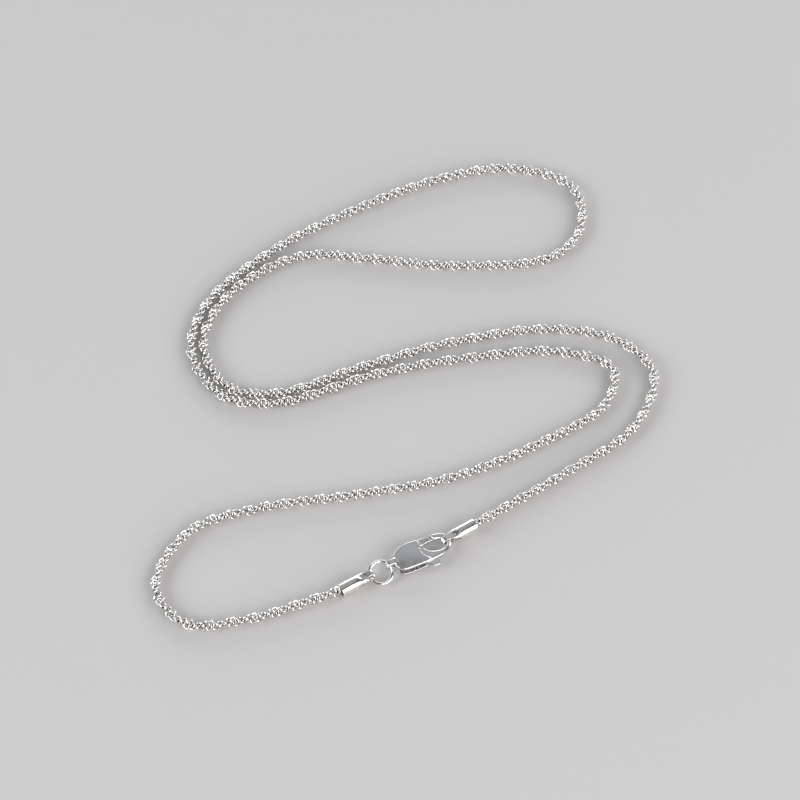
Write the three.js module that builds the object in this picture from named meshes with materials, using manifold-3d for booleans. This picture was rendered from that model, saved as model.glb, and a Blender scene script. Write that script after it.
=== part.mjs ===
// A rope-chain necklace, fastened and lying flat, in millimetres with +Z up.
//
// The rope chain runs from the right end cap, round a doubled S on the surface, to the left end
// cap. A jump ring passes through the left cap's loop and the lobster clasp's tail, and the clasp's
// hook passes through the right cap's loop. The clasp opens by a sprung trigger lever.

import * as THREE from 'three';
import { mergeVertices } from 'three/addons/utils/BufferGeometryUtils.js';
import Module from 'manifold-3d';

const wasm = await Module();
wasm.setup();

const degrees = Math.PI / 180;

// Rope chain: round wire links, each through its neighbours, twisted into lobes.
const chainRadius = 0.85;
const chainSides = 8;
const runGap = 0.1;
const linkRadius = 0.5;
const linkWireRadius = 0.14;
const linkOffset = 0.22;
const linkTilt = 54 * degrees;
const linkCount = 1301;
const firstLinkAt = 0.35;
const endLinksPerCap = 8;
const endLobeLength = 3.2;

// End caps: thin sheet, round at the chain, with the tip drawn down to a loop.
const capMouthRadius = 1.05;
const capWall = 0.15;
const capRoundLength = 2.9;
const capLoopAt = 5.3;
const capLoopHoleRadius = 0.62;
const capLoopRadius = 0.86;
const capLoopHalfWidth = 0.46;
const capHeight = 1.05;

// Jump ring: soldered shut, leaning with its near edge down.
const ringRadius = 1.79;
const ringWireRadius = 0.25;
const ringLean = 17 * degrees;

// Lobster clasp. Its own frame has x from the tail to the nose, and the gate on the +y side.
const claspHeight = 1.0;
const claspDirection = 21.9 * degrees;
const bodyHalfThickness = 1.0;
const bodyBevel = 0.26;
const slotHalfHeight = 0.44;
const pivot = [5.0, 0.2];
const pinRadius = 0.34;
const pinClearance = 0.03;
const leverHalfThickness = 0.36;
const gateReach = 3.42;
const gateGap = 0.1;
const eyeAt = new THREE.Vector2(0.26, -0.25);
const eyeLift = 0.36;
const eyeRadius = 0.55;
const eyeRim = 0.72;
const springRadius = 0.27;
const springWireRadius = 0.065;
const springStart = 1.5;
const springLength = 3.3;
const springTurns = 7;
const springSide = -1.35;

const chainSilver = new THREE.MeshStandardMaterial({ color: 0xdcdad8, roughness: 0.22, metalness: 1 });
const polishedSilver = new THREE.MeshStandardMaterial({ color: 0xe4e2e0, roughness: 0.12, metalness: 1 });
const satinSilver = new THREE.MeshStandardMaterial({ color: 0xc9c9cb, roughness: 0.28, metalness: 1 });
const springSteel = new THREE.MeshStandardMaterial({ color: 0xa9abb0, roughness: 0.3, metalness: 1 });

// The rope's centreline on the surface, from the right cap's mouth to the left cap's mouth.
const routePoints = [
  [9.91, -26.22], [24.2, -16.4], [35.1, -7.7], [38.6, 2.9], [33.2, 9.3], [22.2, 11.6], [6.2, 8.8],
  [-7.0, 4.3], [-21.0, -1.1], [-28.6, 0.2], [-32.7, 8.7], [-28.9, 18.5], [-17.6, 26.3], [-6.4, 25.8],
  [6.4, 24.4], [22.9, 26.1], [27.9, 32.3], [26.6, 40.8], [16.8, 44.6], [5.1, 42.4], [-9.9, 35.3],
  [-22.1, 27.4], [-32.4, 16.6], [-34.5, 6.8], [-29.1, -1.7], [-20.8, -2.9], [-5.2, 2.7], [9.5, 5.9],
  [23.8, 7.1], [32.1, 3.9], [30.8, -3.2], [20.6, -10.6], [6.9, -17.1], [-8.6, -20.5], [-23.7, -23.1],
  [-33.9, -27.4], [-38.6, -37.7], [-33.8, -44.1], [-24.7, -43.4], [-10.6, -38.3],
];
const lastPoint = routePoints.length - 1;

// The ends rise a little, from the surface to the middle of each cap.
function routeHeight(index) {
  return index === 0 || index === lastPoint ? capHeight : chainRadius;
}

const route = new THREE.CatmullRomCurve3(
  routePoints.map(([x, y], index) => new THREE.Vector3(x, y, routeHeight(index))),
  false,
  'centripetal',
);
route.arcLengthDivisions = 4000;
const routeLength = route.getLength();

// Solids: a closed geometry to a manifold for cutting and joining, and back.

function toSolid(geometry) {
  const bare = geometry.clone();
  bare.deleteAttribute('normal');
  bare.deleteAttribute('uv');
  const merged = mergeVertices(bare, 1e-5);
  const mesh = new wasm.Mesh({
    numProp: 3,
    vertProperties: new Float32Array(merged.attributes.position.array),
    triVerts: new Uint32Array(merged.index.array),
  });
  return new wasm.Manifold(mesh);
}

function toGeometry(solid) {
  const mesh = solid.getMesh();
  const geometry = new THREE.BufferGeometry();
  geometry.setAttribute('position', new THREE.BufferAttribute(new Float32Array(mesh.vertProperties), 3));
  geometry.setIndex(new THREE.BufferAttribute(new Uint32Array(mesh.triVerts), 1));
  geometry.computeVertexNormals();
  return geometry;
}

function named(name, geometry, material) {
  const mesh = new THREE.Mesh(geometry, material);
  mesh.name = name;
  return mesh;
}

// A plan outline, as corner points, raised from low to high along z, with an optional bevel.
function plate(points, low, high, bevel = 0) {
  const shape = new THREE.Shape(points.map(([x, y]) => new THREE.Vector2(x, y)));
  const geometry = new THREE.ExtrudeGeometry(shape, {
    depth: high - low - 2 * bevel,
    bevelEnabled: bevel > 0,
    bevelThickness: bevel,
    bevelSize: bevel,
    bevelOffset: -bevel,
    bevelSegments: 2,
    curveSegments: 12,
  });
  return toSolid(geometry.translate(0, 0, low + bevel));
}

// A side outline in x and z, with its width from left to right along y.
function sidePlate(points, left, right) {
  const shape = new THREE.Shape(points.map(([x, z]) => new THREE.Vector2(x, z)));
  const geometry = new THREE.ExtrudeGeometry(shape, { depth: right - left, bevelEnabled: false });
  return toSolid(geometry.rotateX(Math.PI / 2).translate(0, right, 0));
}

// Points along an arc, from one angle to another in degrees.
function arc(x, y, radius, from, to, steps) {
  return Array.from({ length: steps + 1 }, (_, step) => {
    const angle = (from + ((to - from) * step) / steps) * degrees;
    return [x + radius * Math.cos(angle), y + radius * Math.sin(angle)];
  });
}

function rod(radius, length, sides) {
  return new THREE.CylinderGeometry(radius, radius, length, sides);
}

// Chain runs: plain tubes that hold the rope's place, each a stretch of the route.

class Stretch extends THREE.Curve {
  constructor(start, end) {
    super();
    this.start = start;
    this.end = end;
  }

  getPoint(t) {
    return route.getPointAt(THREE.MathUtils.lerp(this.start, this.end, t) / routeLength);
  }
}

// The octagon stands on a flat side, and its flats are one chain radius from the middle.
function chainSection() {
  const corner = chainRadius / Math.cos(Math.PI / chainSides);
  const points = Array.from({ length: chainSides }, (_, side) => {
    const angle = ((side + 0.5) * 2 * Math.PI) / chainSides;
    return new THREE.Vector2(corner * Math.cos(angle), corner * Math.sin(angle));
  });
  return new THREE.Shape(points);
}

function chainRun(start, end, steps) {
  return new THREE.ExtrudeGeometry(chainSection(), {
    extrudePath: new Stretch(start, end),
    steps,
    bevelEnabled: false,
  });
}

// End links: the real links of the rope beside each cap. Link number k turns half a turn from the
// one before, plus the twist, and leans to one side of the rope's line.

const linkPitch = (routeLength - 2 * firstLinkAt) / (linkCount - 1);

function endLink(index, fromStart) {
  const along = firstLinkAt + index * linkPitch;
  const at = fromStart ? along : routeLength - along;
  const twist = (Math.PI * along) / endLobeLength;
  const turn = Math.PI * index + (fromStart ? -twist : twist);
  const point = route.getPointAt(at / routeLength);
  const tangent = route.getTangentAt(at / routeLength);
  const side = new THREE.Vector3(0, 0, 1).cross(tangent).normalize();
  const up = tangent.clone().cross(side);
  const outward = side.clone().multiplyScalar(Math.cos(turn)).addScaledVector(up, Math.sin(turn));
  const across = tangent.clone().cross(outward);
  const normal = tangent.clone().multiplyScalar(Math.cos(linkTilt));
  normal.addScaledVector(across, -Math.sin(linkTilt));
  const geometry = new THREE.TorusGeometry(linkRadius, linkWireRadius, 6, 16);
  const turnToNormal = new THREE.Quaternion().setFromUnitVectors(new THREE.Vector3(0, 0, 1), normal);
  geometry.applyQuaternion(turnToNormal);
  point.addScaledVector(outward, linkOffset);
  return geometry.translate(point.x, point.y, point.z);
}

// End cap, in its own frame: x from the mouth to the tip, y across, and z up from its middle.

function capEnvelope(inset) {
  const radius = capMouthRadius - inset;
  const loop = inset > 0 ? capLoopHoleRadius : capLoopRadius;
  const tube = toSolid(rod(radius, 14, 32).rotateZ(Math.PI / 2));
  const sideProfile = sidePlate(
    [
      [-0.5, -radius], [capRoundLength, -radius], [capLoopAt - 0.8, -loop - 0.02],
      ...arc(capLoopAt, 0, loop, -90, 90, 12),
      [capLoopAt - 0.9, loop + 0.05], [capRoundLength, radius], [-0.5, radius],
    ],
    -2,
    2,
  );
  const half = capLoopHalfWidth - inset;
  const planProfile = plate(
    [
      [-0.5, -radius], [capRoundLength, -radius], [capLoopAt - 0.5, -half], [8, -half],
      [8, half], [capLoopAt - 0.5, half], [capRoundLength, radius], [-0.5, radius],
    ],
    -2,
    2,
  );
  return tube.intersect(sideProfile).intersect(planProfile);
}

function endCap() {
  const mouthCut = plate([[-2, -2], [0, -2], [0, 2], [-2, 2]], -2, 2);
  const sideOpening = sidePlate(
    [
      [3.0, -0.84], [3.5, -0.4], [4.0, 0.1], [4.5, 0.5],
      ...arc(capLoopAt, 0, capLoopHoleRadius, 108, -90, 14),
      [4.6, -0.64], [3.9, -0.8],
    ],
    -2,
    2,
  );
  const shell = capEnvelope(0).subtract(capEnvelope(capWall));
  return toGeometry(shell.subtract(sideOpening).subtract(mouthCut));
}

// Lobster clasp, in its own frame, with z up from the middle of its thickness.

const plateOutline = [
  [0.9, -0.75], [1.1, -1.4], [1.5, -1.95], [2.1, -2.24], [3.5, -2.24], [7.2, -1.98],
  [7.2, 2.0], [4.8, 2.26], [3.7, 2.26], [2.6, 2.0], [1.7, 1.4], [0.9, 0.45],
];

// The raised plates end in a hollow arc round the window.
const stepCentre = [8.0, 0.5];
const stepRadius = 2.6;

const hookOuter = [
  [5.2, -2.1], [6.8, -1.98], [8.0, -1.66], [9.1, -1.26], [10.0, -0.72], [10.55, -0.05],
  [10.76, 0.7], [10.72, 1.3], [10.42, 1.9], [9.85, 2.35], [9.15, 2.56], [8.3, 2.58],
  [7.2, 2.5], [7.2, 1.4], [5.7, 1.4], [5.2, 0.4],
];

const windowInner = [
  [8.0, 1.5], [8.9, 1.56], [9.5, 1.45], [9.84, 1.12], [9.9, 0.62], [9.74, 0.08], [9.3, -0.32],
  [8.5, -0.48], [7.6, -0.46], [6.95, -0.24], [6.5, 0.12], [6.28, 0.6], [6.4, 1.1], [6.8, 1.5],
];

// The hook thins from the body to the round nose that the cap's loop rides on.
const hookSide = [
  [4.9, -0.82], [7.2, -0.74], [9.4, -0.37], [11.5, -0.37],
  [11.5, 0.37], [9.4, 0.37], [7.2, 0.74], [4.9, 0.82],
];

const slotOutline = [
  [3.9, 3.2], [3.9, -0.9], [1.4, -0.9], [1.4, -3.2], [7.3, -3.2], [7.3, -0.42], [8.6, -0.42], [8.6, 3.2],
];

function disc([x, y], radius, low, high, sides) {
  const cylinder = rod(radius, high - low, sides).rotateX(Math.PI / 2);
  return toSolid(cylinder.translate(x, y, (low + high) / 2));
}

function claspBody() {
  const plates = plate(plateOutline, -bodyHalfThickness, bodyHalfThickness, bodyBevel)
    .subtract(disc(stepCentre, stepRadius, -2, 2, 48));
  const gateSweep = disc(pivot, gateReach + gateGap, -2, 2, 48);
  const gateSide = plate([[5, 1.25], [9, 1.25], [9, 4], [5, 4]], -2, 2);
  const hook = plate(hookOuter, -1, 1)
    .subtract(plate(windowInner, -2, 2))
    .subtract(gateSweep.intersect(gateSide))
    .intersect(sidePlate(hookSide, -4, 4));
  const tongueSide = [
    [1.5, -0.52], [1.5, 0.9], [0.9, eyeLift + eyeRim], [eyeAt.x, eyeLift + eyeRim],
    ...arc(eyeAt.x, eyeLift, eyeRim, 90, 270, 12),
  ];
  const tongue = sidePlate(tongueSide, eyeAt.y - 0.5, eyeAt.y + 0.5);
  const eyeHole = rod(eyeRadius, 4, 20).rotateZ(20 * degrees).translate(eyeAt.x, eyeAt.y, eyeLift);
  const springBay = plate([[1.4, -3.2], [5, -3.2], [5, -0.9], [1.4, -0.9]], -2, 2);
  const slot = plate(slotOutline, -slotHalfHeight, slotHalfHeight).intersect(gateSweep.add(springBay));
  const pinHole = disc(pivot, pinRadius + pinClearance, -2, 0.75, 16);
  const solid = plates.add(hook).add(tongue).subtract(toSolid(eyeHole)).subtract(slot).subtract(pinHole);
  return toGeometry(solid);
}

const leverOutline = [
  [4.25, 0.45], [4.4, 1.1], [4.75, 1.95], [5.4, 2.3], [6.4, 2.46], [7.1, 2.46],
  ...arc(...pivot, gateReach, 40, 22, 4),
  [7.4, 1.5], [6.6, 1.35], [6.0, 0.95], [5.8, 0.4], [5.8, -0.3], [6.1, -1.2], [6.6, -1.78],
  [7.35, -1.95], [7.8, -2.2], [7.86, -2.6], [7.5, -2.92], [6.9, -2.98], [6.3, -2.8], [5.7, -2.2],
  [5.1, -1.5], [4.7, -0.7], [4.3, -0.2],
];

function claspTrigger() {
  const lever = plate(leverOutline, -leverHalfThickness, leverHalfThickness);
  return toGeometry(lever.subtract(disc(pivot, pinRadius + 2 * pinClearance, -1, 1, 16)));
}

function claspPin() {
  return toGeometry(disc(pivot, pinRadius, -bodyHalfThickness + 0.02, 0.72, 16));
}

class Coil extends THREE.Curve {
  getPoint(t) {
    const angle = 2 * Math.PI * springTurns * t;
    return new THREE.Vector3(
      springStart + springLength * t,
      springSide + springRadius * Math.cos(angle),
      springRadius * Math.sin(angle),
    );
  }
}

function claspSpring() {
  const corners = arc(0, 0, springWireRadius, 0, 300, 5).map(([x, y]) => new THREE.Vector2(x, y));
  const section = new THREE.Shape(corners);
  return new THREE.ExtrudeGeometry(section, { extrudePath: new Coil(), steps: 70, bevelEnabled: false });
}

// Assembly.

const necklace = new THREE.Group();

const rightCapPlace = new THREE.Vector3(9.93, -26.19, capHeight);
const rightCapDirection = (33.3 + 180) * degrees;
const leftCapPlace = new THREE.Vector3(-10.54, -38.28, capHeight);
const leftCapDirection = 32 * degrees;
const ringPlace = new THREE.Vector3(-4.38, -34.95, 1.03);
const claspPlace = new THREE.Vector3(-3.4, -33.6, claspHeight);

function placeCap(name, place, direction) {
  const cap = named(name, endCap(), polishedSilver);
  cap.position.copy(place);
  cap.rotation.z = direction;
  necklace.add(cap);
}

placeCap('right_end_cap', rightCapPlace, rightCapDirection);
placeCap('left_end_cap', leftCapPlace, leftCapDirection);

// Where each run starts and ends, in mm along the route, and how many steps it is drawn in.
const linkedEnd = firstLinkAt + (endLinksPerCap - 1) * linkPitch + linkRadius + linkWireRadius + runGap;
const runEnds = [linkedEnd, 28, 52, 80, 107, 134, 160, 196, 218, 256, 280, 304, 330, 356, 376, 414, 438,
  463, routeLength - linkedEnd];
const runSteps = [3, 7, 4, 7, 9, 6, 4, 6, 4, 7, 8, 7, 4, 6, 4, 4, 7, 2];

runSteps.forEach((steps, index) => {
  const start = runEnds[index] + (index > 0 ? runGap / 2 : 0);
  const end = runEnds[index + 1] - (index < runSteps.length - 1 ? runGap / 2 : 0);
  const name = `chain_run_${String(index + 1).padStart(2, '0')}`;
  necklace.add(named(name, chainRun(start, end, steps), chainSilver));
});

for (let index = 0; index < 2 * endLinksPerCap; index += 1) {
  const fromStart = index < endLinksPerCap;
  const name = `end_link_${String(index + 1).padStart(2, '0')}`;
  necklace.add(named(name, endLink(index % endLinksPerCap, fromStart), chainSilver));
}

const ring = named('jump_ring', new THREE.TorusGeometry(ringRadius, ringWireRadius, 10, 36), polishedSilver);
ring.position.copy(ringPlace);
ring.rotation.x = ringLean;
necklace.add(ring);

const clasp = new THREE.Group();
clasp.position.copy(claspPlace);
clasp.rotation.z = claspDirection;
clasp.add(named('clasp_body', claspBody(), satinSilver));
clasp.add(named('clasp_trigger', claspTrigger(), polishedSilver));
clasp.add(named('clasp_pivot_pin', claspPin(), polishedSilver));
clasp.add(named('clasp_spring', claspSpring(), springSteel));
necklace.add(clasp);

export default necklace;
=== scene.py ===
"""A silver rope-chain necklace, fastened and lying flat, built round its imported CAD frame.

Lengths in the tables below are in millimetres unless a name ends in _M; the scene is in metres.
"""

import math

import bpy
import numpy as np
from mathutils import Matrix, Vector


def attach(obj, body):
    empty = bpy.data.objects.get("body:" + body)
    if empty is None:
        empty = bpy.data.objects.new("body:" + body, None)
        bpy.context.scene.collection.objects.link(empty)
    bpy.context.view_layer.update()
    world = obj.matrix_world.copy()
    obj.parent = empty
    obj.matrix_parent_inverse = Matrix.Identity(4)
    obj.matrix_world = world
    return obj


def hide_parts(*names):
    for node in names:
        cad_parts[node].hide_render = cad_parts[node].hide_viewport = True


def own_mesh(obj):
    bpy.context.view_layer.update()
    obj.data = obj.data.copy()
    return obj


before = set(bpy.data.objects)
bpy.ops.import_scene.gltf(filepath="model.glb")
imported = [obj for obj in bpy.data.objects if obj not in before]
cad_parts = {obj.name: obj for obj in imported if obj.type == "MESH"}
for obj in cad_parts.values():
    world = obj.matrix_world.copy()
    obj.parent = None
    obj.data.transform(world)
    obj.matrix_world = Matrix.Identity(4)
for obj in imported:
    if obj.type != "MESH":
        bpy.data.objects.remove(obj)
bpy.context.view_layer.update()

MM = 0.001

# The rope's centreline on the surface, from the right cap's mouth to the left cap's, in metres.
ROUTE_M = [
    (0.00991, -0.02622), (0.0242, -0.0164), (0.0351, -0.0077), (0.0386, 0.0029), (0.0332, 0.0093),
    (0.0222, 0.0116), (0.0062, 0.0088), (-0.0070, 0.0043), (-0.0210, -0.0011), (-0.0286, 0.0002),
    (-0.0327, 0.0087), (-0.0289, 0.0185), (-0.0176, 0.0263), (-0.0064, 0.0258), (0.0064, 0.0244),
    (0.0229, 0.0261), (0.0279, 0.0323), (0.0266, 0.0408), (0.0168, 0.0446), (0.0051, 0.0424),
    (-0.0099, 0.0353), (-0.0221, 0.0274), (-0.0324, 0.0166), (-0.0345, 0.0068), (-0.0291, -0.0017),
    (-0.0208, -0.0029), (-0.0052, 0.0027), (0.0095, 0.0059), (0.0238, 0.0071), (0.0321, 0.0039),
    (0.0308, -0.0032), (0.0206, -0.0106), (0.0069, -0.0171), (-0.0086, -0.0205), (-0.0237, -0.0231),
    (-0.0339, -0.0274), (-0.0386, -0.0377), (-0.0338, -0.0441), (-0.0247, -0.0434), (-0.0106, -0.0383),
]
ROPE_HEIGHT_M = 0.00086
CAP_HEIGHT_M = 0.00105
ROUTE_STEPS = 80

# The rope's links: each passes through its neighbours, half a turn from the last less the twist.
LINK_COUNT = 1301
FIRST_LINK_AT = 0.35
LINK_RADIUS = 0.50
LINK_WIRE_RADIUS = 0.15
LINK_OFFSET = 0.22
LINK_TILT = math.radians(54)
LINK_SIDES = 24
WIRE_SIDES = 10

# How much the links' turns and tilts stray from an even lay, in radians.
LINK_STRAY = 0.03
LINK_SEED = 7

# How far along the rope each way its direction at a link is taken.
DIRECTION_REACH = 0.2

# How far from the rope's middle, in mm, its wire goes from fully recessed to not at all, and so from
# full painted shade to none.
RECESS_DEPTHS = (0.14, 0.56)

# How long half a turn of the twist is, at places along the rope: a hand-laid rope twists unevenly.
LOBE_PLACES = [0, 12, 50, 130, 140, 168, 185, 240, 250, 295, 305, 350, 362, 440, 448, 483]
LOBE_LENGTHS = [3.2, 3.0, 3.65, 3.65, 2.9, 3.15, 2.85, 2.8, 3.3, 3.45, 3.8, 3.75, 2.85, 2.85, 3.45, 3.3]

# The rope is six pieces, each standing for three runs of the frame; the first and last also hold
# the links beside the caps.
PIECE_ENDS = [0, 80, 160, 256, 330, 414]
RUNS_PER_PIECE = 3
END_LINKS = 8


def hermite(points, steps):
    """A centripetal Catmull-Rom line through the points, with that many steps between each two."""
    points = np.array(points, float)
    ends = 2 * points[[0, -1]] - points[[1, -2]]
    padded = np.vstack([ends[:1], points, ends[1:]])
    gaps = np.linalg.norm(np.diff(padded, axis=0), axis=1) ** 0.5
    t = np.linspace(0, 1, steps, endpoint=False)[:, None]
    line = []
    for i in range(len(points) - 1):
        a, b, c, d = padded[i : i + 4]
        before, here, after = gaps[i : i + 3]
        leave = (b - a) / before - (c - a) / (before + here) + (c - b) / here
        arrive = (c - b) / here - (d - b) / (here + after) + (d - c) / after
        leave, arrive = leave * here, arrive * here
        square = 3 * (c - b) - 2 * leave - arrive
        cube = 2 * (b - c) + leave + arrive
        line.append(b + leave * t + square * t**2 + cube * t**3)
    return np.vstack([*line, points[-1:]])


def lengths_along(line):
    """How far along the line each of its points is."""
    return np.concatenate([[0], np.cumsum(np.linalg.norm(np.diff(line, axis=0), axis=1))])


def unit(vectors):
    """Vectors in the same directions, one long."""
    return vectors / np.linalg.norm(vectors, axis=-1, keepdims=True)


def ease(value, start, end):
    """0 up to start and 1 from end, with a smooth step between."""
    share = np.clip((value - start) / (end - start), 0, 1)
    return share * share * (3 - 2 * share)


def mesh_object(name, points, faces, smooth=True):
    """A piece from its points, in metres in the frame's own axes, and its faces."""
    mesh = bpy.data.meshes.new(name)
    mesh.from_pydata(np.asarray(points).tolist(), [], [list(map(int, face)) for face in faces])
    mesh.polygons.foreach_set("use_smooth", [smooth] * len(mesh.polygons))
    mesh.update()
    piece = bpy.data.objects.new(name, mesh)
    bpy.context.scene.collection.objects.link(piece)
    return piece


def grid_faces(rows, columns, closed_rows, closed_columns, first=0):
    """Quads over a grid of points, wrapping round where it is closed."""
    row = np.arange(rows if closed_rows else rows - 1)
    column = np.arange(columns if closed_columns else columns - 1)
    row, column = (a.ravel() for a in np.meshgrid(row, column, indexing="ij"))
    next_row, next_column = (row + 1) % rows, (column + 1) % columns
    corners = [(row, column), (next_row, column), (next_row, next_column), (row, next_column)]
    return np.stack([first + r * columns + c for r, c in corners], axis=1)


# ---------------------------------------------------------------- materials


# Near-black painted shade, mixed into the rope's silver where its wire is recessed.
PAINTED_SHADE_COLOUR = (0.06, 0.06, 0.065)


def silver(name, colour, tint, roughness, spread, grain, depth, painted_shade=0.0):
    """Worn silver: its colour drifts to tint, its roughness varies by spread, and a grain of fine
    scratches and dents, so many to a metre and so deep in metres, breaks up its shine. Where a piece
    marks its wire as recessed, a near-black is mixed into the colour as painted shade."""
    material = bpy.data.materials.new(name)
    material.use_nodes = True
    nodes, links = material.node_tree.nodes, material.node_tree.links
    shader = nodes["Principled BSDF"]
    shader.inputs["Metallic"].default_value = 1.0
    place = nodes.new("ShaderNodeTexCoord")

    def noise(scale, detail, rough=0.5):
        node = nodes.new("ShaderNodeTexNoise")
        node.inputs["Scale"].default_value = scale
        node.inputs["Detail"].default_value = detail
        node.inputs["Roughness"].default_value = rough
        links.new(place.outputs["Object"], node.inputs["Vector"])
        return node.outputs["Fac"]

    def colour_mix(second, factor):
        node = nodes.new("ShaderNodeMix")
        node.data_type = "RGBA"
        node.inputs["B"].default_value = (*second, 1)
        links.new(factor, node.inputs["Factor"])
        return node

    shade = colour_mix(tint, noise(grain / 6, 3))
    shade.inputs["A"].default_value = (*colour, 1)
    # Painted shade: the recessed places of the wire are darkened towards a near-black.
    if painted_shade:
        recess = nodes.new("ShaderNodeAttribute")
        recess.attribute_name = "recess"
        amount = nodes.new("ShaderNodeMath")
        amount.operation = "MULTIPLY"
        amount.inputs[1].default_value = painted_shade
        links.new(recess.outputs["Fac"], amount.inputs[0])
        clean = shade
        shade = colour_mix(PAINTED_SHADE_COLOUR, amount.outputs["Value"])
        links.new(clean.outputs["Result"], shade.inputs["A"])
    links.new(shade.outputs["Result"], shader.inputs["Base Color"])

    span = nodes.new("ShaderNodeMapRange")
    span.inputs["From Min"].default_value = 0.3
    span.inputs["From Max"].default_value = 0.7
    span.inputs["To Min"].default_value = roughness - spread
    span.inputs["To Max"].default_value = roughness + spread
    links.new(noise(grain / 2, 4), span.inputs["Value"])
    links.new(span.outputs["Result"], shader.inputs["Roughness"])

    bump = nodes.new("ShaderNodeBump")
    bump.inputs["Strength"].default_value = 1.0
    bump.inputs["Distance"].default_value = depth
    links.new(noise(grain, 5, 0.65), bump.inputs["Height"])
    links.new(bump.outputs["Normal"], shader.inputs["Normal"])
    return material


# The rope's silver, with painted shade darkening the wire deep in the rope.
chain_silver = silver(
    "chain_silver", (0.96, 0.95, 0.94), (0.88, 0.87, 0.86), 0.21, 0.05, 5000, 1.5e-6, painted_shade=0.85
)
cap_silver = silver("cap_silver", (0.94, 0.92, 0.90), (0.86, 0.84, 0.82), 0.22, 0.06, 2200, 5e-6)
ring_silver = silver("ring_silver", (0.96, 0.95, 0.94), (0.88, 0.87, 0.86), 0.18, 0.04, 4200, 1.5e-6)
satin_silver = silver("satin_silver", (0.86, 0.86, 0.87), (0.76, 0.76, 0.77), 0.24, 0.05, 2400, 7e-6)
lever_silver = silver("lever_silver", (0.92, 0.91, 0.90), (0.82, 0.81, 0.80), 0.16, 0.06, 2400, 7e-6)
pin_silver = silver("pin_silver", (0.90, 0.89, 0.88), (0.80, 0.79, 0.79), 0.14, 0.05, 3000, 5e-6)
spring_steel = silver("spring_steel", (0.62, 0.62, 0.64), (0.50, 0.50, 0.52), 0.24, 0.06, 3000, 5e-6)


def finish_piece(piece, material, body):
    """Gives a piece its material and the body that it moves with."""
    piece.data.materials.append(material)
    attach(piece, body)
    return piece


# ---------------------------------------------------------------- rope chain

heights = [CAP_HEIGHT_M] + [ROPE_HEIGHT_M] * (len(ROUTE_M) - 2) + [CAP_HEIGHT_M]
route = hermite([(x, y, z) for (x, y), z in zip(ROUTE_M, heights)], ROUTE_STEPS) / MM
route_at = lengths_along(route)
route_length = route_at[-1]


def on_route(at):
    """The rope's middle at places along it, in mm."""
    return np.stack([np.interp(at, route_at, route[:, axis]) for axis in range(3)], axis=1)


def twist_at(at):
    """The rope's turn at places along it, a whole number of turns from one end to the other."""
    lobes = np.interp(route_at, LOBE_PLACES, LOBE_LENGTHS)
    rate = math.pi / lobes
    steps = np.diff(route_at) * (rate[1:] + rate[:-1]) / 2
    turn = np.concatenate([[0], np.cumsum(steps)])
    whole = 2 * math.pi * round(turn[-1] / (2 * math.pi))
    return np.interp(at, route_at, turn * whole / turn[-1])


def link_rings(rng):
    """Where each link is along the rope, its wire as points by link, place round the link and place
    round the wire, and how recessed each of those points is."""
    index = np.arange(LINK_COUNT)
    at = FIRST_LINK_AT + index * (route_length - 2 * FIRST_LINK_AT) / (LINK_COUNT - 1)
    middle = on_route(at)
    tangent = unit(on_route(at + DIRECTION_REACH) - on_route(at - DIRECTION_REACH))
    side = unit(np.cross([0, 0, 1], tangent))
    up = np.cross(tangent, side)
    turn = (math.pi * index - twist_at(at) + rng.normal(0, LINK_STRAY, LINK_COUNT))[:, None]
    outward = np.cos(turn) * side + np.sin(turn) * up
    across = np.cross(tangent, outward)
    tilt = (LINK_TILT + rng.normal(0, LINK_STRAY, LINK_COUNT))[:, None]
    normal = np.cos(tilt) * tangent - np.sin(tilt) * across
    cross = np.cross(normal, outward)
    centre = middle + LINK_OFFSET * outward

    round_link = 2 * math.pi * np.arange(LINK_SIDES) / LINK_SIDES
    radial = (
        outward[:, None, :] * np.cos(round_link)[None, :, None]
        + cross[:, None, :] * np.sin(round_link)[None, :, None]
    )
    round_wire = 2 * math.pi * np.arange(WIRE_SIDES) / WIRE_SIDES
    reach = LINK_RADIUS + LINK_WIRE_RADIUS * np.cos(round_wire)
    lift = LINK_WIRE_RADIUS * np.sin(round_wire)
    rings = (
        centre[:, None, None, :]
        + radial[:, :, None, :] * reach[None, None, :, None]
        + normal[:, None, None, :] * lift[None, None, :, None]
    )
    # How near each point lies to the rope's middle: the nearer, the more painted shade its silver gets.
    away = rings - middle[:, None, None, :]
    along = (away * tangent[:, None, None, :]).sum(axis=-1, keepdims=True)
    depth = np.linalg.norm(away - along * tangent[:, None, None, :], axis=-1)
    return at, rings * MM, 1 - ease(depth, *RECESS_DEPTHS)


def rope_piece(number, start, end, at, rings, recess):
    """One stretch of the rope, from start to end along it, as a piece of its own."""
    here = (at >= start) & (at < end)
    chosen = rings[here]
    one = grid_faces(LINK_SIDES, WIRE_SIDES, True, True)
    faces = (one[None] + LINK_SIDES * WIRE_SIDES * np.arange(len(chosen))[:, None, None]).reshape(-1, 4)
    piece = mesh_object(f"rope_chain_{number}", chosen.reshape(-1, 3), faces)
    # How recessed each point is, which sets the painted shade in the rope's gaps.
    mark = piece.data.attributes.new("recess", "FLOAT", "POINT")
    mark.data.foreach_set("value", recess[here].ravel().astype(np.float32))
    nodes = [f"chain_run_{RUNS_PER_PIECE * (number - 1) + n + 1:02d}" for n in range(RUNS_PER_PIECE)]
    if start == 0:
        nodes += [f"end_link_{n + 1:02d}" for n in range(END_LINKS)]
    if end > route_length:
        nodes += [f"end_link_{n + 1:02d}" for n in range(END_LINKS, 2 * END_LINKS)]
    finish_piece(piece, chain_silver, "chain")
    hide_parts(*nodes)


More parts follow.
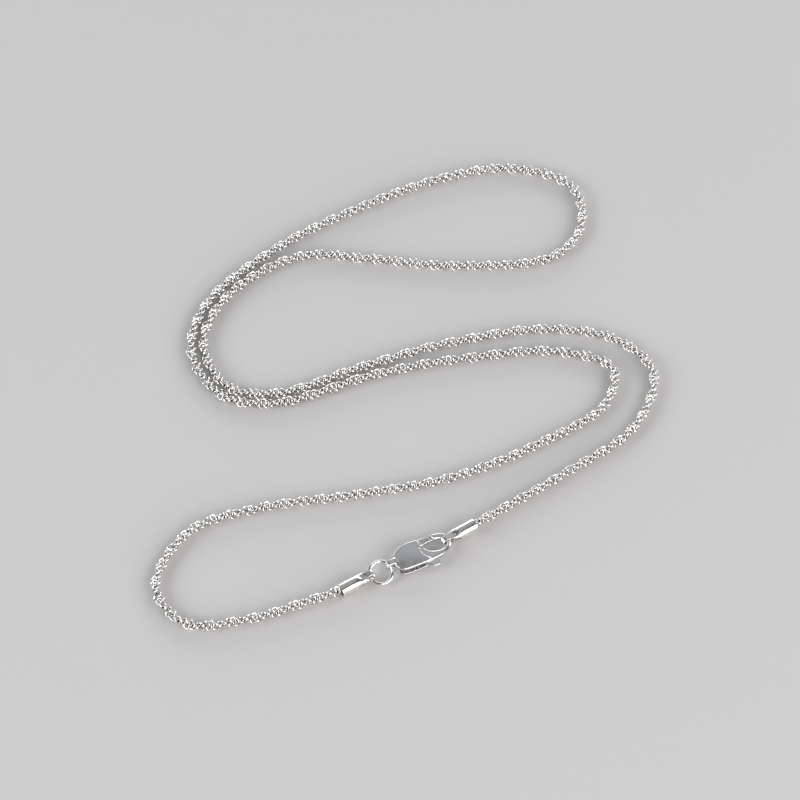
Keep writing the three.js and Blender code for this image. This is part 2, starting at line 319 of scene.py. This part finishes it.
def rope():
    """The six pieces of the rope, one after another from the right cap to the left cap."""
    at, rings, recess = link_rings(np.random.default_rng(LINK_SEED))
    ends = [*PIECE_ENDS, route_length + 1]
    for number, (start, end) in enumerate(zip(ends, ends[1:]), start=1):
        rope_piece(number, start, end, at, rings, recess)


# ---------------------------------------------------------------- closure shapes


def placed(points, origin, direction):
    """Points from a fitting's own frame, with x along direction, to metres in the frame's own axes."""
    cos, sin = math.cos(direction), math.sin(direction)
    turn = np.array([[cos, sin, 0], [-sin, cos, 0], [0, 0, 1]])
    return (np.asarray(points) @ turn + origin) * MM


def cut_corners(points, rounds=2):
    """A closed outline with its corners cut, a few times over, into curves."""
    points = np.array(points, float)
    for _ in range(rounds):
        after = np.roll(points, -1, axis=0)
        points = np.stack([0.75 * points + 0.25 * after, 0.25 * points + 0.75 * after], axis=1)
        points = points.reshape(-1, 2)
    return points


def outline_distance(points, x, y):
    """How far places are outside a closed outline, and less than nothing inside it."""
    nearest = np.full(x.shape, np.inf)
    inside = np.zeros(x.shape, bool)
    for (ax, ay), (bx, by) in zip(points, np.roll(points, -1, axis=0)):
        ex, ey = bx - ax, by - ay
        along = np.clip(((x - ax) * ex + (y - ay) * ey) / (ex * ex + ey * ey), 0, 1)
        nearest = np.minimum(nearest, np.hypot(x - ax - along * ex, y - ay - along * ey))
        if ey != 0:
            inside ^= ((ay <= y) != (by <= y)) & (x < ax + ex * (y - ay) / ey)
    return np.where(inside, -nearest, nearest)


def slab(plan, height, half, rounding):
    """A shape known by its distance in plan, as thick as half each way, with its edges rounded."""
    out = plan + rounding
    up = np.abs(height) - half + rounding
    outside = np.hypot(np.maximum(out, 0), np.maximum(up, 0))
    return outside + np.minimum(np.maximum(out, up), 0) - rounding


def joined(first, second, fillet):
    """The distance to two shapes together, with a fillet where they meet."""
    share = np.clip(0.5 + 0.5 * (second - first) / fillet, 0, 1)
    return second * (1 - share) + first * share - fillet * share * (1 - share)


def without(solid, hole, fillet):
    """The distance to a shape less a hole, with the hole's edges rounded."""
    return -joined(-solid, hole, fillet)


def grid(low, high, step):
    """The x, y and z of every place on a grid over a box."""
    axes = [np.arange(a, b + step, step) for a, b in zip(low, high)]
    return np.meshgrid(*axes, indexing="ij")


def skin(distance, low, step):
    """The surface where a distance on a grid is nothing, as points and outward quads."""
    inside = distance < 0
    cells = np.array(distance.shape) - 1
    corners = [np.array([i, j, k]) for i in (0, 1) for j in (0, 1) for k in (0, 1)]
    filled = np.zeros(cells, int)
    for i, j, k in corners:
        filled += inside[i : i + cells[0], j : j + cells[1], k : k + cells[2]]
    places = np.argwhere((filled > 0) & (filled < 8))
    number = np.full(cells, -1)
    number[tuple(places.T)] = np.arange(len(places))

    total = np.zeros((len(places), 3))
    count = np.zeros((len(places), 1))
    for axis in range(3):
        step_on = np.eye(3, dtype=int)[axis]
        for corner in corners:
            if corner[axis]:
                continue
            here = places + corner
            near = distance[tuple(here.T)]
            far = distance[tuple((here + step_on).T)]
            crosses = (near < 0) != (far < 0)
            share = np.where(crosses, near / np.where(crosses, near - far, 1), 0)
            total += crosses[:, None] * (here + share[:, None] * step_on)
            count += crosses[:, None]
    points = np.asarray(low) + step * total / count

    quads = []
    for axis in range(3):
        steps = np.eye(3, dtype=int)
        along, u, v = steps[axis], steps[(axis + 1) % 3], steps[(axis + 2) % 3]
        before = np.moveaxis(inside, axis, 0)
        changes = np.moveaxis(before[1:] != before[:-1], 0, axis)
        edges = np.argwhere(changes)
        starts_inside = inside[tuple(edges.T)]
        ring = np.stack([number[tuple((edges - back).T)] for back in (u + v, v, 0 * along, u)], axis=1)
        quads.append(np.where(starts_inside[:, None], ring, ring[:, ::-1]))
    return points, np.vstack(quads)


# ---------------------------------------------------------------- end caps

# Two half shells of thin sheet, round at the chain, that narrow to one strap folded round the
# fastening. Across the sheet, each half runs from its crown down to an edge at mid-height; towards
# the strap the upper half's edge sweeps up early, and the lower half's runs on like a trough.
CAP_PLACES = [((9.93, -26.19, 1.05), math.radians(213.3)), ((-10.54, -38.28, 1.05), math.radians(32))]
CAP_NAMES = ["right_cap_shell", "left_cap_shell"]
CAP_NODES = ["right_end_cap", "left_end_cap"]
CAP_WALL = 0.16
CAP_LOOP_AT = 5.3
CAP_LOOP_RADIUS = 0.80
CAP_LOOP_HALF_WIDTH = 0.46
CAP_ACROSS = 28
CAP_PLAIN_LENGTH = 2.4
CAP_PLAIN_ROWS = 10
CAP_TAPER_ROWS = 44
CAP_TIP_ROWS = 24
CAP_RIM_ROUNDING = 0.03

# The dent that the drawn sheet has where it narrows: its depth and place, how far it runs each way
# along the cap, and how far across it in radians.
DENT_DEPTH = 0.16
DENT_AT = 3.75
DENT_LENGTH = 0.55
DENT_SPAN = 0.55

# The sheet's half width, the height of its crown, and the heights of the two halves' edges, at
# places along the cap from its mouth.
CAP_WIDTH_AT = [0, 2.7, 3.3, 3.9, 4.5, 5.0, 5.3]
CAP_WIDTH = [1.05, 1.05, 0.97, 0.78, 0.57, 0.47, 0.46]
CAP_CROWN_AT = [0, 2.6, 3.2, 3.8, 4.4, 4.9, 5.3]
CAP_CROWN = [1.05, 1.05, 0.99, 0.84, 0.76, 0.77, 0.80]
UPPER_EDGE_AT = [0, 2.4, 3.0, 3.6, 4.2, 4.7, 5.3]
UPPER_EDGE = [0.06, 0.06, 0.12, 0.38, 0.62, 0.73, 0.77]
LOWER_EDGE_AT = [0, 2.8, 3.8, 4.4, 4.8, 5.1, 5.3]
LOWER_EDGE = [0.02, 0.02, 0.10, 0.32, 0.62, 0.75, 0.77]


def smooth_line(at, places, values):
    """A smooth line through values at places."""
    line = hermite(np.stack([places, values, np.zeros(len(places))], axis=1), 12)
    return np.interp(at, line[:, 0], line[:, 1])


def cap_half(at, across, edge_at, edge, lift):
    """One half of the sheet from the mouth to the loop, its crown up if lift is 1 and down if -1."""
    width = smooth_line(at, CAP_WIDTH_AT, CAP_WIDTH)[:, None]
    crown = smooth_line(at, CAP_CROWN_AT, CAP_CROWN)[:, None]
    depth = crown - smooth_line(at, edge_at, edge)[:, None]
    dent = DENT_DEPTH * np.exp(-(((at - DENT_AT) / DENT_LENGTH) ** 2))[:, None]
    hollow = dent * np.exp(-((across[None, :] / DENT_SPAN) ** 2))
    x = np.repeat(at[:, None], len(across), axis=1)
    y = width * np.sin(across)[None, :]
    z = crown - depth * (1 - np.cos(across)[None, :]) - hollow
    return np.stack([x, y, lift * z], axis=-1)


def cap_sheet():
    """The sheet's outer side, as rows of points from the upper mouth round the tip to the lower."""
    across = np.linspace(-math.pi / 2, math.pi / 2, CAP_ACROSS)
    plain = np.linspace(0, CAP_PLAIN_LENGTH, CAP_PLAIN_ROWS, endpoint=False)
    taper = np.linspace(CAP_PLAIN_LENGTH, CAP_LOOP_AT, CAP_TAPER_ROWS)
    at = np.concatenate([plain, taper])
    upper = cap_half(at, across, UPPER_EDGE_AT, UPPER_EDGE, 1)
    lower = cap_half(at, across, LOWER_EDGE_AT, LOWER_EDGE, -1)[::-1]
    turn = np.linspace(math.pi / 2, -math.pi / 2, CAP_TIP_ROWS + 2)[1:-1]
    radius = CAP_LOOP_RADIUS - (CAP_LOOP_RADIUS - UPPER_EDGE[-1]) * (1 - np.cos(across))
    tip = np.stack(
        [
            CAP_LOOP_AT + np.cos(turn)[:, None] * radius[None, :],
            np.repeat(CAP_LOOP_HALF_WIDTH * np.sin(across)[None, :], len(turn), axis=0),
            np.sin(turn)[:, None] * radius[None, :],
        ],
        axis=-1,
    )
    return np.concatenate([upper, tip, lower])


def end_caps():
    """Both caps, which are the same sheet turned round."""
    sheet = cap_sheet()
    rows = len(sheet)
    faces = grid_faces(rows, CAP_ACROSS, False, False)
    for name, node, (origin, direction) in zip(CAP_NAMES, CAP_NODES, CAP_PLACES):
        piece = mesh_object(name, placed(sheet.reshape(-1, 3), origin, direction), faces)
        wall = piece.modifiers.new("wall", "SOLIDIFY")
        wall.thickness = CAP_WALL * MM
        wall.offset = -1
        wall.use_even_offset = True
        rim = piece.modifiers.new("rim", "BEVEL")
        rim.width = CAP_RIM_ROUNDING * MM
        rim.segments = 2
        rim.limit_method = "ANGLE"
        rim.angle_limit = math.radians(50)
        finish_piece(piece, cap_silver, "chain")
        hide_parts(node)


# ---------------------------------------------------------------- jump ring

RING_PLACE = (-4.38, -34.95, 1.03)
RING_RADIUS = 1.79
RING_WIRE_RADIUS = 0.25
RING_LEAN = math.radians(17)
RING_SIDES = 96
RING_WIRE_SIDES = 24
SEAM_AT = math.radians(35)
SEAM_HALF_SPAN = 0.06
SEAM_HEIGHT = 0.012


def jump_ring():
    """A round wire ring; the solder at its joint stands a little proud of the wire."""
    round_ring = 2 * math.pi * np.arange(RING_SIDES) / RING_SIDES
    round_wire = 2 * math.pi * np.arange(RING_WIRE_SIDES) / RING_WIRE_SIDES
    seam = SEAM_HEIGHT * np.exp(-(((round_ring - SEAM_AT) / SEAM_HALF_SPAN) ** 2))[:, None]
    wire = RING_WIRE_RADIUS + seam * (1 + 0.5 * np.cos(3 * round_wire)[None, :])
    reach = RING_RADIUS + wire * np.cos(round_wire)[None, :]
    lift = wire * np.sin(round_wire)[None, :]
    x = reach * np.cos(round_ring)[:, None]
    y = reach * np.sin(round_ring)[:, None]
    cos, sin = math.cos(RING_LEAN), math.sin(RING_LEAN)
    points = np.stack([x, cos * y - sin * lift, sin * y + cos * lift], axis=-1).reshape(-1, 3)
    faces = grid_faces(RING_SIDES, RING_WIRE_SIDES, True, True)
    piece = mesh_object("soldered_ring", placed(points, RING_PLACE, 0), faces)
    finish_piece(piece, ring_silver, "jump_ring")
    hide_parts("jump_ring")


# ---------------------------------------------------------------- lobster clasp

# In the clasp's own frame x runs from the tail to the nose, and the gate is on the +y side.
CLASP_PLACE = (-3.4, -33.6, 1.0)
CLASP_DIRECTION = math.radians(21.9)
CLASP_STEP = 0.055
PIVOT = (5.0, 0.2)
PIN_RADIUS = 0.34
PIN_HOLE_PLAY = 0.03
PIN_HOLE_TOP = 0.75
SLOT_HALF_HEIGHT = 0.44

# The gate arm's tip sweeps round the pin through a gap in the hook, which is cut within these limits.
GATE_REACH = 3.42
GATE_GAP = 0.1
GATE_SPAN = (5, 9)
GATE_SIDE = 1.25

# The plates: crowned on top and below, and ended by a round step before the window.
PLATE_HALF_THICKNESS = 1.0
PLATE_CROWN = 0.11
PLATE_CROWN_AT = 4.0
PLATE_CROWN_REACH = (3.2, 2.2)
PLATE_ROUNDING = 0.15
STEP_CENTRE = (8.0, 0.5)
STEP_RADIUS = 2.6
HOOK_ROUNDING = 0.34

# The tail's eye, and the tongue of metal that it goes through.
EYE = (0.26, -0.25, 0.36)
EYE_RADIUS = 0.55
EYE_RIM = 0.72
EYE_TURN = math.radians(20)
TONGUE_HALF_WIDTH = 0.5
TONGUE_ROUNDING = 0.14

# The bay for the spring, from its tail end to its pin end, and the side of it that is closed.
BAY_SPAN = (1.4, 5)
BAY_SIDE = -0.9

# How much each join or cut in the body is rounded.
HOOK_FILLET = 0.08
TONGUE_FILLET = 0.16
EYE_FILLET = 0.08
SLOT_FILLET = 0.06
PIN_HOLE_FILLET = 0.05

# The lever, and the grips across its gate arm: how deep and how far apart they are, and the places
# between which they fade in and out.
LEVER_HALF_THICKNESS = 0.36
LEVER_ROUNDING = 0.13
LEVER_PLAY = 0.06
GRIP_DEPTH = 0.04
GRIP_PITCH = 0.45
GRIP_AT = 6.3
GRIPS_FROM = (5.9, 6.1)
GRIPS_TO = (7.4, 7.6)
GRIPS_SIDE = (1.3, 1.6)

PLATE_OUTLINE = [
    (0.9, -0.75), (1.1, -1.4), (1.5, -1.95), (2.1, -2.24), (3.5, -2.24), (7.2, -1.98),
    (7.2, 2.0), (4.8, 2.26), (3.7, 2.26), (2.6, 2.0), (1.7, 1.4), (0.9, 0.45),
]
HOOK_OUTER = [
    (5.2, -2.1), (6.8, -1.98), (8.0, -1.66), (9.1, -1.26), (10.0, -0.72), (10.55, -0.05),
    (10.76, 0.7), (10.72, 1.3), (10.42, 1.9), (9.85, 2.35), (9.15, 2.56), (8.3, 2.58),
    (7.2, 2.5), (7.2, 1.4), (5.7, 1.4), (5.2, 0.4),
]
WINDOW_INNER = [
    (8.0, 1.5), (8.9, 1.56), (9.5, 1.45), (9.84, 1.12), (9.9, 0.62), (9.74, 0.08), (9.3, -0.32),
    (8.5, -0.48), (7.6, -0.46), (6.95, -0.24), (6.5, 0.12), (6.28, 0.6), (6.4, 1.1), (6.8, 1.5),
]
HOOK_HALF_AT = [4.9, 7.2, 9.4, 11.5]
HOOK_HALF = [0.76, 0.68, 0.38, 0.38]
SLOT_OUTLINE = [
    (3.9, 3.2), (3.9, -0.9), (1.4, -0.9), (1.4, -3.2), (7.3, -3.2), (7.3, -0.42), (8.6, -0.42),
    (8.6, 3.2),
]
TONGUE_SIDE = [(1.6, -0.6), (1.6, 0.86), (1.05, 1.04), (0.26, 1.08)]
LEVER_OUTLINE = [
    (4.25, 0.45), (4.4, 1.1), (4.75, 1.95), (5.4, 2.3), (6.4, 2.46), (7.1, 2.46), (7.62, 2.40),
    (7.88, 2.05), (8.05, 1.75), (8.17, 1.48), (7.4, 1.5), (6.6, 1.35), (6.0, 0.95), (5.8, 0.4),
    (5.8, -0.3), (6.1, -1.2), (6.6, -1.78), (7.35, -1.95), (7.8, -2.2), (7.86, -2.6), (7.5, -2.92),
    (6.9, -2.98), (6.3, -2.8), (5.7, -2.2), (5.1, -1.5), (4.7, -0.7), (4.3, -0.2),
]


def fitting(name, distance, low, step, material, slot, body, *nodes):
    """A clasp piece, from its distance on a grid in the clasp's own frame."""
    points, quads = skin(distance, low, step)
    piece = mesh_object(name, placed(points, CLASP_PLACE, CLASP_DIRECTION), quads)
    finish_piece(piece, material, body)
    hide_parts(*nodes)


def from_pivot(x, y):
    """How far places are from the pin's middle."""
    return np.hypot(x - PIVOT[0], y - PIVOT[1])


def clasp_body():
    """The casting: two plates, the hook round the window, and the tongue with the tail's eye."""
    low, high = (-0.8, -2.6, -1.3), (11.1, 2.9, 1.3)
    x, y, z = grid(low, high, CLASP_STEP)
    flat_x, flat_y = x[:, :, 0], y[:, :, 0]

    def plan(outline, rounds=2):
        return outline_distance(cut_corners(outline, rounds), flat_x, flat_y)[:, :, None]

    gate_sweep = from_pivot(x, y) - GATE_REACH - GATE_GAP
    step_wall = STEP_RADIUS - np.hypot(x - STEP_CENTRE[0], y - STEP_CENTRE[1])
    reach_x, reach_y = PLATE_CROWN_REACH
    fall = ((x - PLATE_CROWN_AT) / reach_x) ** 2 + (y / reach_y) ** 2
    half = PLATE_HALF_THICKNESS - PLATE_CROWN * fall
    plates = slab(np.maximum(plan(PLATE_OUTLINE), step_wall), z, half, PLATE_ROUNDING)

    beside_gate = np.maximum(x - GATE_SPAN[1], GATE_SPAN[0] - x)
    gate_cut = np.maximum(gate_sweep, np.maximum(GATE_SIDE - y, beside_gate))
    hook_plan = np.maximum(np.maximum(plan(HOOK_OUTER), -plan(WINDOW_INNER)), -gate_cut)
    hook = slab(hook_plan, z, np.interp(x, HOOK_HALF_AT, HOOK_HALF), HOOK_ROUNDING)

    around = np.radians(np.linspace(90, 270, 13))
    tip = np.stack([EYE[0] + EYE_RIM * np.cos(around), EYE[2] + EYE_RIM * np.sin(around)], axis=1)
    side = np.vstack([TONGUE_SIDE, tip])
    tongue_plan = outline_distance(side, x[:, 0, :], z[:, 0, :])[:, None, :]
    tongue = slab(tongue_plan, y - EYE[1], TONGUE_HALF_WIDTH, TONGUE_ROUNDING)
    across_eye = (x - EYE[0]) * math.cos(EYE_TURN) + (y - EYE[1]) * math.sin(EYE_TURN)
    eye = np.hypot(across_eye, z - EYE[2]) - EYE_RADIUS

    spring_bay = np.maximum(np.maximum(BAY_SPAN[0] - x, x - BAY_SPAN[1]), y - BAY_SIDE)
    slot_plan = np.maximum(plan(SLOT_OUTLINE, 0), np.minimum(gate_sweep, spring_bay))
    slot = np.maximum(slot_plan, np.abs(z) - SLOT_HALF_HEIGHT)
    pin_hole = np.maximum(from_pivot(x, y) - PIN_RADIUS - PIN_HOLE_PLAY, z - PIN_HOLE_TOP)

    body = joined(plates, hook, HOOK_FILLET)
    body = joined(body, tongue, TONGUE_FILLET)
    body = without(body, eye, EYE_FILLET)
    body = without(body, slot, SLOT_FILLET)
    body = without(body, pin_hole, PIN_HOLE_FILLET)
    fitting("lobster_body", body, low, CLASP_STEP, satin_silver, "clasp", "clasp", "clasp_body")


def clasp_trigger():
    """The lever: its gate arm with the grips, its hub round the pin, and its thumb tab."""
    low, high = (3.9, -3.3, -0.6), (8.5, 2.8, 0.6)
    x, y, z = grid(low, high, CLASP_STEP)
    plan = outline_distance(cut_corners(LEVER_OUTLINE), x[:, :, 0], y[:, :, 0])[:, :, None]
    grips = GRIP_DEPTH * (0.5 + 0.5 * np.cos(2 * math.pi * (x - GRIP_AT) / GRIP_PITCH))
    on_arm = ease(y, *GRIPS_SIDE) * ease(x, *GRIPS_FROM) * (1 - ease(x, *GRIPS_TO))
    lever = slab(plan, z, LEVER_HALF_THICKNESS, LEVER_ROUNDING) + grips * on_arm
    hole = from_pivot(x, y) - PIN_RADIUS - LEVER_PLAY
    lever = without(lever, hole, PIN_HOLE_FILLET)
    fitting("lobster_trigger", lever, low, CLASP_STEP, lever_silver, "clasp", "trigger", "clasp_trigger")


# The rivet's radius and height at places from its head to its closed end.
PIN_PROFILE = [
    (0.0, -1.0), (0.16, -0.99), (0.27, -0.95), (0.33, -0.88), (0.34, -0.82), (0.34, 0.60),
    (0.33, 0.67), (0.28, 0.715), (0.14, 0.72), (0.0, 0.72),
]
PIN_SIDES = 40


def pivot_pin():
    """A rivet with a domed head below, and its closed end inside the upper plate."""
    angle = 2 * math.pi * np.arange(PIN_SIDES) / PIN_SIDES
    radius, height = np.array(PIN_PROFILE).T
    x = PIVOT[0] + radius[:, None] * np.cos(angle)[None, :]
    y = PIVOT[1] + radius[:, None] * np.sin(angle)[None, :]
    z = np.repeat(height[:, None], PIN_SIDES, axis=1)
    points = np.stack([x, y, z], axis=-1).reshape(-1, 3)
    faces = grid_faces(len(height), PIN_SIDES, False, True)[:, ::-1]
    piece = mesh_object("rivet_pin", placed(points, CLASP_PLACE, CLASP_DIRECTION), faces)
    finish_piece(piece, pin_silver, "clasp")
    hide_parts("clasp_pivot_pin")


SPRING_SIDE = -1.35
SPRING_START = 1.5
SPRING_LENGTH = 3.3
SPRING_RADIUS = 0.27
SPRING_WIRE_RADIUS = 0.065
SPRING_TURNS = 7
SPRING_STEPS_PER_TURN = 28
SPRING_WIRE_SIDES = 10

# How closely the end turns lie: 0 for an even coil, and 1 for end turns that touch.
SPRING_CLOSING = 0.55


def trigger_spring():
    """A coil spring whose end turns lie close. The trigger squeezes it towards its tail end."""
    share = np.linspace(0, 1, SPRING_TURNS * SPRING_STEPS_PER_TURN)
    angle = 2 * math.pi * SPRING_TURNS * share
    rise = share - SPRING_CLOSING / (2 * math.pi) * np.sin(2 * math.pi * share)
    middle = np.stack(
        [
            SPRING_START + SPRING_LENGTH * rise,
            SPRING_SIDE + SPRING_RADIUS * np.cos(angle),
            SPRING_RADIUS * np.sin(angle),
        ],
        axis=1,
    )
    tangent = unit(np.gradient(middle, axis=0))
    out = unit(middle * [0, 1, 1] - [0, SPRING_SIDE, 0])
    side = np.cross(tangent, out)
    turn = 2 * math.pi * np.arange(SPRING_WIRE_SIDES)[:, None] / SPRING_WIRE_SIDES
    section = out[:, None] * np.cos(turn) + side[:, None] * np.sin(turn)
    points = (middle[:, None] + SPRING_WIRE_RADIUS * section).reshape(-1, 3)
    faces = grid_faces(len(middle), SPRING_WIRE_SIDES, False, True).tolist()
    first_end = list(range(SPRING_WIRE_SIDES))
    last = (len(middle) - 1) * SPRING_WIRE_SIDES
    faces += [first_end, [last + n for n in reversed(first_end)]]
    piece = mesh_object("coil_spring", placed(points, CLASP_PLACE, CLASP_DIRECTION), faces)
    finish_piece(piece, spring_steel, "clasp")
    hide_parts("clasp_spring")
    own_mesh(piece)


# ---------------------------------------------------------------- camera, lights and floor

CAMERA_TARGET_M = Vector((-0.0015, -0.0017, 0))
CAMERA_DISTANCE_M = 0.630
CAMERA_ELEVATION = math.radians(54)
CAMERA_LENS = 180

# Each light's name, place, width and height in metres, its power in watts, and its colour.
SOFTBOXES = [
    ("front_light", (0.46, -0.55, 0.38), 1.00, 0.62, 7.0, (1.0, 0.96, 0.92)),
    ("left_light", (-0.70, -0.20, 0.36), 0.60, 0.40, 4.0, (1.0, 1.0, 1.0)),
    ("back_light", (-0.10, 0.82, 0.24), 1.20, 0.36, 4.4, (1.0, 1.0, 1.0)),
    ("back_right_light", (0.66, 0.34, 0.36), 0.40, 0.34, 1.6, (1.0, 1.0, 1.0)),
    ("back_left_panel", (-0.42, 0.52, 0.70), 0.32, 0.30, 0.36, (1.0, 1.0, 1.0)),
    ("back_panel", (0.10, 0.58, 0.79), 0.50, 0.40, 0.24, (0.94, 0.97, 1.0)),
    ("top_panel", (0.05, -0.02, 1.00), 0.70, 0.50, 0.40, (1.0, 1.0, 1.0)),
]
SURROUNDINGS_COLOUR = (0.50, 0.50, 0.51)
SURROUNDINGS_STRENGTH = 0.15

FLOOR_HALF_M = 0.6
FLOOR_COLOUR = (0.60, 0.60, 0.61)
FLOOR_ROUGHNESS = 0.75


def camera():
    """A long lens in front of the necklace, looking down at it."""
    data = bpy.data.cameras.new("camera")
    data.lens = CAMERA_LENS
    data.clip_start = 0.01
    eye = bpy.data.objects.new("camera", data)
    back = Vector((0, -math.cos(CAMERA_ELEVATION), math.sin(CAMERA_ELEVATION)))
    eye.location = CAMERA_TARGET_M + CAMERA_DISTANCE_M * back
    eye.rotation_euler = (-back).to_track_quat("-Z", "Y").to_euler()
    bpy.context.scene.collection.objects.link(eye)
    bpy.context.scene.camera = eye


def softbox(name, place, width, height, watts, colour):
    """A rectangular light that faces the middle of the floor."""
    data = bpy.data.lights.new(name, "AREA")
    data.shape = "RECTANGLE"
    data.size = width
    data.size_y = height
    data.energy = watts
    data.color = colour
    lamp = bpy.data.objects.new(name, data)
    lamp.location = place
    lamp.rotation_euler = (-Vector(place)).to_track_quat("-Z", "Y").to_euler()
    bpy.context.scene.collection.objects.link(lamp)


def studio():
    for box in SOFTBOXES:
        softbox(*box)
    world = bpy.data.worlds.new("studio")
    world.use_nodes = True
    background = world.node_tree.nodes["Background"]
    background.inputs["Color"].default_value = (*SURROUNDINGS_COLOUR, 1)
    background.inputs["Strength"].default_value = SURROUNDINGS_STRENGTH
    bpy.context.scene.world = world
    bpy.context.scene.view_settings.view_transform = "Standard"


def floor():
    half = FLOOR_HALF_M
    corners = [(-half, -half, 0), (half, -half, 0), (half, half, 0), (-half, half, 0)]
    piece = mesh_object("floor", corners, [(0, 1, 2, 3)], smooth=False)
    material = bpy.data.materials.new("pale_floor")
    material.use_nodes = True
    shader = material.node_tree.nodes["Principled BSDF"]
    shader.inputs["Base Color"].default_value = (*FLOOR_COLOUR, 1)
    shader.inputs["Roughness"].default_value = FLOOR_ROUGHNESS
    piece.data.materials.append(material)


camera()
rope()
end_caps()
jump_ring()
clasp_body()
clasp_trigger()
pivot_pin()
trigger_spring()
studio()
floor()
